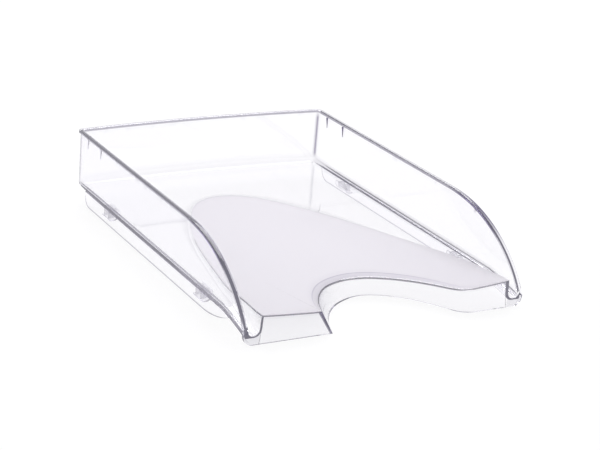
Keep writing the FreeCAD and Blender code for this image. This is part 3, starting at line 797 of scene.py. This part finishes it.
def runner(name, side):
    """One fin: two upright grids of depth and height, drawn in a little at the foot to round its edge."""
    foot, top = runner_foot(fin_y), runner_top(fin_y)
    high = foot[:, None] + (top - foot)[:, None] * levels
    pinch = EDGE_ROUND * (levels == 0)
    faces = []
    for inset in (RUNNER_OUT + pinch, RUNNER_OUT + RUNNER_THICK - pinch):
        x = side * (side_x(fin_y)[:, None] - inset)
        faces.append(np.stack([x, np.broadcast_to(fin_y[:, None], x.shape), high], axis=-1))
    piece = slab(name, *faces, LEVEL_PAINTED_SHADES, LEVEL_PAINTED_SHADES)
    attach(piece, "root")
    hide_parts(name.replace("_fin", "_runner"))
    return piece


fins = [runner("left_fin", -1), runner("right_fin", 1)]

# %% [markdown]
# ## Stacking lugs and locating ribs
# Two small hollow lugs stand inside each runner, under the floor: a curled lip with two thin webs.
# Two little wedges sit under each rim near the back corner. Both kinds are taken to locate a second tray
# that is stacked on this one; no second tray was tried.

# %% Lugs and ribs
LUG_LENGTH = 18.0
LUG_REACH = 8.0
LUG_HEIGHT = 8.0
LUG_RADIUS = 5.0
LUG_SKIN = 1.2
# Painted shade: faint on the lug's curled lip, darker on its webs.
LUG_PAINTED_SHADE = 0.10
WEB_THICK = 1.0
WEB_PAINTED_SHADE = 0.45
RIB_REACH = 1.5
RIB_POWER = 1.1
RIB_HEIGHT = 10.0
LUG_PLACES = {"rear": back_y - 74.0, "front": front_y + 86.0}
RIB_PLACES = {"rear": back_y - 27.5, "front": back_y - 56.5}
lug_top = FLOOR_TOP - WALL - JOIN_GAP
lug_low = FLOOR_TOP - WALL - LUG_HEIGHT


def lug_curl(inset):
    """The lug's section: in along its foot from the runner, round a quarter circle and up to the floor."""
    radius = LUG_RADIUS - inset
    turns = np.linspace(0, math.pi / 2, 10)
    x = np.concatenate([[JOIN_GAP], LUG_REACH - LUG_RADIUS + radius * np.sin(turns), [LUG_REACH - inset]])
    z = np.concatenate([[lug_low + inset], lug_low + LUG_RADIUS - radius * np.cos(turns), [lug_top]])
    return x, z


def swept(side, middle_y, section, half_length, count=5):
    """A section carried along the side, parallel to its taper."""
    x, z = section
    y = np.linspace(-half_length, half_length, count)[:, None] + middle_y
    start = side_x(y) - RUNNER_OUT - RUNNER_THICK
    full = np.broadcast_to(y, (count, len(x)))
    return np.stack([side * (start - x), full, np.broadcast_to(z, full.shape)], axis=-1)


def lug(side_name, side, place):
    """The curled lip and its two webs, joined as one piece."""
    middle = LUG_PLACES[place]
    parts = [tuple(swept(side, middle, lug_curl(inset), LUG_LENGTH / 2) for inset in (0, LUG_SKIN))]
    web_section = lug_curl(LUG_SKIN + JOIN_GAP)
    for shift in (-LUG_LENGTH / 4, LUG_LENGTH / 4):
        low = swept(side, middle + shift, web_section, WEB_THICK / 2, 2)
        high = low.copy()
        high[..., 2] = lug_top
        parts.append((low[:, :-1], high[:, :-1]))
    points, faces, painted_shades, start = [], [], [], 0
    for painted_shade, (first, second) in zip((LUG_PAINTED_SHADE, WEB_PAINTED_SHADE, WEB_PAINTED_SHADE), parts):
        points += [first.reshape(-1, 3), second.reshape(-1, 3)]
        painted_shades.append(np.full(2 * first.shape[0] * first.shape[1], painted_shade))
        faces.append(slab_faces(*first.shape[:2]) + start)
        start += 2 * first.shape[0] * first.shape[1]
    piece = make_piece(
        f"{side_name}_{place}_hook", np.concatenate(points), np.concatenate(faces), np.concatenate(painted_shades))
    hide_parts(f"{side_name}_{place}_lug")
    return piece


def rib(side_name, side, place):
    """A wedge: widest under the rim, run out to nothing on the wall ten millimetres lower."""
    y = RIB_PLACES[place] + np.array([-0.6, -0.35, 0.35, 0.6])
    t = np.linspace(0, 1, 8)
    reach = RIB_REACH * (1 - t) ** RIB_POWER * np.array([0.55, 1.0, 1.0, 0.55])[:, None]
    root = np.broadcast_to((side_x(y) - WALL_IN - JOIN_GAP)[:, None], reach.shape)
    z = np.broadcast_to(top_z - RIM_THICK - JOIN_GAP - RIB_HEIGHT * t, reach.shape)
    full_y = np.broadcast_to(y[:, None], reach.shape)
    outer = np.stack([side * root, full_y, z], axis=-1)
    inner = np.stack([side * (root - reach), full_y, z], axis=-1)
    # The whole wedge carries painted shade at full strength.
    piece = slab(f"{side_name}_{place}_wedge", outer, inner, 1.0, 1.0)
    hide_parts(f"{side_name}_{place}_rib")
    return piece


small_pieces = []
for side_name, side in (("left", -1), ("right", 1)):
    for place in ("rear", "front"):
        small_pieces += [lug(side_name, side, place), rib(side_name, side, place)]
for piece in small_pieces:
    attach(piece, "root")
print(f"{len(small_pieces)} lugs and ribs")

# %% [markdown]
# ## Writing shader maths as Python
# A node tree is easier to read as sums and products. One small class wraps a socket, and the usual
# signs add the Math nodes behind it. One function adds any other node by its type.

# %% Shader helpers
class Wire:
    """A value socket that can be added to, multiplied and raised to a power like a number."""

    def __init__(self, tree, socket):
        self.tree = tree
        self.socket = socket

    def math(self, operation, *others, clamp=False):
        """A Math node on this value and the others."""
        values = dict(enumerate((self,) + others))
        return node(self.tree, "ShaderNodeMath", {"operation": operation, "use_clamp": clamp}, values)

    def __add__(self, other):
        return self.math("ADD", other)

    def __mul__(self, other):
        return self.math("MULTIPLY", other)

    def __pow__(self, other):
        return self.math("POWER", other)


def node(tree, kind, settings=None, values=None, output=0):
    """Adds a node: its settings first, then its sockets' values or links. Returns one output, wrapped."""
    made = tree.nodes.new(kind)
    for key, value in (settings or {}).items():
        if key == "stops":
            ramp_stops = made.color_ramp.elements
            while len(ramp_stops) < len(value):
                ramp_stops.new(1.0)
            for stop, (position, colour) in zip(ramp_stops, value):
                stop.position = position
                stop.color = colour
        else:
            setattr(made, key, value)
    for key, value in (values or {}).items():
        if isinstance(value, Wire):
            tree.links.new(value.socket, made.inputs[key])
        else:
            made.inputs[key].default_value = value
    return None if output is None else Wire(tree, made.outputs[output])


def new_material(name):
    """An empty material: its node tree is cleared, output node and all."""
    material = bpy.data.materials.new(name)
    material.use_nodes = True
    material.node_tree.nodes.clear()
    return material, material.node_tree


# %% [markdown]
# ## Clear violet plastic
# Crystal plastic is glass-like: it lets light through, bends it and mirrors a little of it. A thin wall
# looks almost white, and a rim looks dark violet. The volume tints light by the way it goes inside.
# Three more things are not physical. The stored painted shade adds dark along the edges. A second
# painted shade darkens the colour where the surface turns away from the eye. A weak violet glow of
# painted light on all the clear plastic lifts the places where total reflection traps the light, which
# would come out black.

# %% Clear plastic
TINT = (0.62, 0.58, 0.74, 1.0)
TINT_DENSITY = 22.0
PLASTIC_IOR = 1.49
# Colours of the painted shade along the edges, on clear and on frosted plastic.
PAINTED_EDGE_SHADE = (0.10, 0.085, 0.155, 1.0)
PAINTED_FROST_SHADE = (0.42, 0.40, 0.48, 1.0)
CLEAR_LIGHT = (0.933, 0.932, 0.934, 1.0)
# Painted shade where the surface turns away from the eye: its strength and how fast it falls off.
GLANCING = 0.45
GLANCING_POWER = 7.0
# Painted light: a weak violet glow on all the clear plastic.
GLOW = (0.87, 0.85, 1.0, 1.0)
GLOW_STRENGTH = 0.036
FROST_LOW = (0.825, 0.812, 0.828, 1.0)
FROST_HIGH = (0.87, 0.857, 0.873, 1.0)


def moulded_height(tree, scale, fine):
    """A height pattern: slow flow waves of the melt, and a finer texture on top of them."""
    place = node(tree, "ShaderNodeTexCoord", output="Object")
    flow = node(tree, "ShaderNodeTexNoise", {}, {
        "Vector": place, "Scale": scale, "Detail": 2.0, "Roughness": 0.4})
    grain = node(tree, "ShaderNodeTexNoise", {}, {"Vector": place, "Scale": scale * fine, "Detail": 3.0})
    return flow, grain


def paint_edge_shade(tree, light_colour, dark_colour, glancing=0.0):
    """From the light colour to the dark one by the painted shade that the skin carries.

    Glass also darkens where it curves away from the eye; glancing says how much of that is added as painted
    shade.
    """
    painted_shade = node(tree, "ShaderNodeAttribute", {"attribute_name": "edge_tint"}, output="Fac")
    if glancing:
        facing = node(tree, "ShaderNodeLayerWeight", {}, {"Blend": 0.5}, "Facing")
        painted_shade = (facing ** GLANCING_POWER) * glancing + painted_shade
    return node(tree, "ShaderNodeMix", {"data_type": "RGBA"}, {
        0: painted_shade.math("MULTIPLY", 1.0, clamp=True), 6: light_colour, 7: dark_colour}, 2)


def finish_material(material, tree, shader):
    """Joins the surface and the shared violet absorption of the volume to the output."""
    volume = node(tree, "ShaderNodeVolumeAbsorption", {}, {"Color": TINT, "Density": TINT_DENSITY})
    node(tree, "ShaderNodeOutputMaterial", {}, {"Surface": shader, "Volume": volume}, None)
    return material


def clear_plastic():
    """Polished clear plastic: nearly smooth, with an uneven gloss, painted shade on its edges and a weak glow
    of painted light.
    """
    material, tree = new_material("clear_violet_plastic")
    flow, grain = moulded_height(tree, 14.0, 22.0)
    bump = node(tree, "ShaderNodeBump", {}, {"Strength": 0.04, "Distance": 0.002, "Height": flow}, "Normal")
    rough = (flow * 0.02 + grain * 0.012) + 0.004
    shader = node(tree, "ShaderNodeBsdfPrincipled", {}, {
        "Base Color": paint_edge_shade(tree, CLEAR_LIGHT, PAINTED_EDGE_SHADE, GLANCING), "Roughness": rough,
        "Emission Color": GLOW, "Emission Strength": GLOW_STRENGTH,
        "IOR": PLASTIC_IOR, "Transmission Weight": 1.0, "Normal": bump}, "BSDF")
    return finish_material(material, tree, shader)


def frosted_plastic():
    """The same plastic with a fine rough texture: it scatters light and looks milky and lilac, with painted
    shade along its edges.
    """
    material, tree = new_material("frosted_violet_plastic")
    flow, grain = moulded_height(tree, 9.0, 260.0)
    bump = node(tree, "ShaderNodeBump", {}, {"Strength": 0.25, "Distance": 0.0002, "Height": grain}, "Normal")
    cloud = node(tree, "ShaderNodeMix", {"data_type": "RGBA"}, {
        0: flow * 0.7 + grain * 0.3, 6: FROST_LOW, 7: FROST_HIGH}, 2)
    tone = paint_edge_shade(tree, cloud, PAINTED_FROST_SHADE)
    shader = node(tree, "ShaderNodeBsdfPrincipled", {}, {
        "Base Color": tone, "Roughness": grain * 0.1 + 0.5, "IOR": PLASTIC_IOR,
        "Transmission Weight": 0.3, "Normal": bump}, "BSDF")
    return finish_material(material, tree, shader)


clear = clear_plastic()
frost = frosted_plastic()
tray.data.materials.append(clear)
tray.data.materials.append(frost)
for piece in fins + small_pieces:
    piece.data.materials.append(clear)

# %% [markdown]
# ## Studio
# Clear things are lit by what stands behind them. The desk glows white by itself, so that the tray
# throws almost no shadow on it. The low part of the room is white too, and the upper part is a pale
# violet grey. One soft box stands high up behind the tray, to its right.

# %% Floor, room and lamp
FLOOR_REACH = 6.0
FLOOR_DROP = 0.0004
DESK_BASE = (0.12, 0.12, 0.122, 1.0)
DESK_GLOW = 0.90
WHITE = (1.0, 1.0, 1.0, 1.0)
ROOM_STOPS = (
    (0.0, WHITE), (0.42, WHITE), (0.58, (0.62, 0.60, 0.66, 1.0)), (1.0, (0.58, 0.56, 0.62, 1.0)))
LAMP_PLACE = (0.36, 0.76, 1.2)
LAMP_SIZE = 0.95
LAMP_POWER = 13.0
floor_mesh = bpy.data.meshes.new("studio_floor")
floor_mesh.from_pydata(
    [(x * FLOOR_REACH, y * FLOOR_REACH, -FLOOR_DROP) for x, y in ((-1, -1), (1, -1), (1, 1), (-1, 1))],
    [], [(0, 1, 2, 3)])
studio_floor = bpy.data.objects.new("studio_floor", floor_mesh)
bpy.context.scene.collection.objects.link(studio_floor)
floor_material, floor_tree = new_material("studio_white")
floor_place = node(floor_tree, "ShaderNodeTexCoord", output="Object")
paper = node(floor_tree, "ShaderNodeTexNoise", {}, {"Vector": floor_place, "Scale": 40.0, "Detail": 2.0})
floor_shader = node(floor_tree, "ShaderNodeBsdfPrincipled", {}, {
    "Base Color": DESK_BASE, "Roughness": paper * 0.1 + 0.85, "Specular IOR Level": 0.0,
    "Emission Color": WHITE, "Emission Strength": DESK_GLOW}, "BSDF")
node(floor_tree, "ShaderNodeOutputMaterial", {}, {"Surface": floor_shader}, None)
floor_mesh.materials.append(floor_material)

world = bpy.data.worlds.new("studio_room")
bpy.context.scene.world = world
world.use_nodes = True
room = world.node_tree
room.nodes.clear()
direction = node(room, "ShaderNodeTexCoord", output="Generated")
height = node(room, "ShaderNodeSeparateXYZ", {}, {"Vector": direction}, "Z")
sky = node(room, "ShaderNodeValToRGB", {"stops": ROOM_STOPS}, {"Fac": height}, "Color")
light = node(room, "ShaderNodeBackground", {}, {"Color": sky, "Strength": 1.0}, "Background")
node(room, "ShaderNodeOutputWorld", {}, {"Surface": light}, None)


def soft_lamp(name, place, target, size, power):
    """A square soft box that faces a point."""
    lamp = bpy.data.lights.new(name, "AREA")
    lamp.shape = "SQUARE"
    lamp.size = size
    lamp.energy = power
    holder = bpy.data.objects.new(name, lamp)
    bpy.context.scene.collection.objects.link(holder)
    back = np.array(place, float) - np.array(target, float)
    back /= np.linalg.norm(back)
    right = np.cross((0.0, 1.0, 0.0) if abs(back[2]) > 0.99 else (0.0, 0.0, 1.0), back)
    right /= np.linalg.norm(right)
    up = np.cross(back, right)
    matrix = np.eye(4)
    matrix[:3, 0], matrix[:3, 1], matrix[:3, 2], matrix[:3, 3] = right, up, back, place
    holder.matrix_world = Matrix(matrix.tolist())
    return holder


soft_lamp("overhead_box", LAMP_PLACE, (0.0, 0.0, 0.0), LAMP_SIZE, LAMP_POWER)

# %% [markdown]
# ## Camera
# The camera stands in front of the tray, thirty degrees round to its left and twenty degrees up. It
# has a long lens and is rolled by nearly five degrees.

# %% Camera
AZIMUTH = math.radians(-30.49)
ELEVATION = math.radians(20.24)
ROLL = math.radians(4.84)
DISTANCE = 1.59348
LOOK = np.array([0.01482, 0.0, 0.01964])
SENSOR_WIDTH = 36.0
FOCAL_LENGTH = 110.607
back = np.array([
    math.sin(AZIMUTH) * math.cos(ELEVATION), -math.cos(AZIMUTH) * math.cos(ELEVATION), math.sin(ELEVATION)])
right = np.cross(-back, (0.0, 0.0, 1.0))
right /= np.linalg.norm(right)
up = np.cross(right, -back)
rolled_right = math.cos(ROLL) * right + math.sin(ROLL) * up
rolled_up = -math.sin(ROLL) * right + math.cos(ROLL) * up
camera_data = bpy.data.cameras.new("camera")
camera_data.sensor_width = SENSOR_WIDTH
camera_data.lens = FOCAL_LENGTH
camera = bpy.data.objects.new("camera", camera_data)
bpy.context.scene.collection.objects.link(camera)
camera_matrix = np.eye(4)
camera_matrix[:3, 0], camera_matrix[:3, 1], camera_matrix[:3, 2] = rolled_right, rolled_up, back
camera_matrix[:3, 3] = LOOK + back * DISTANCE
camera.matrix_world = Matrix(camera_matrix.tolist())
bpy.context.scene.camera = camera
bpy.context.scene.view_settings.view_transform = "Standard"
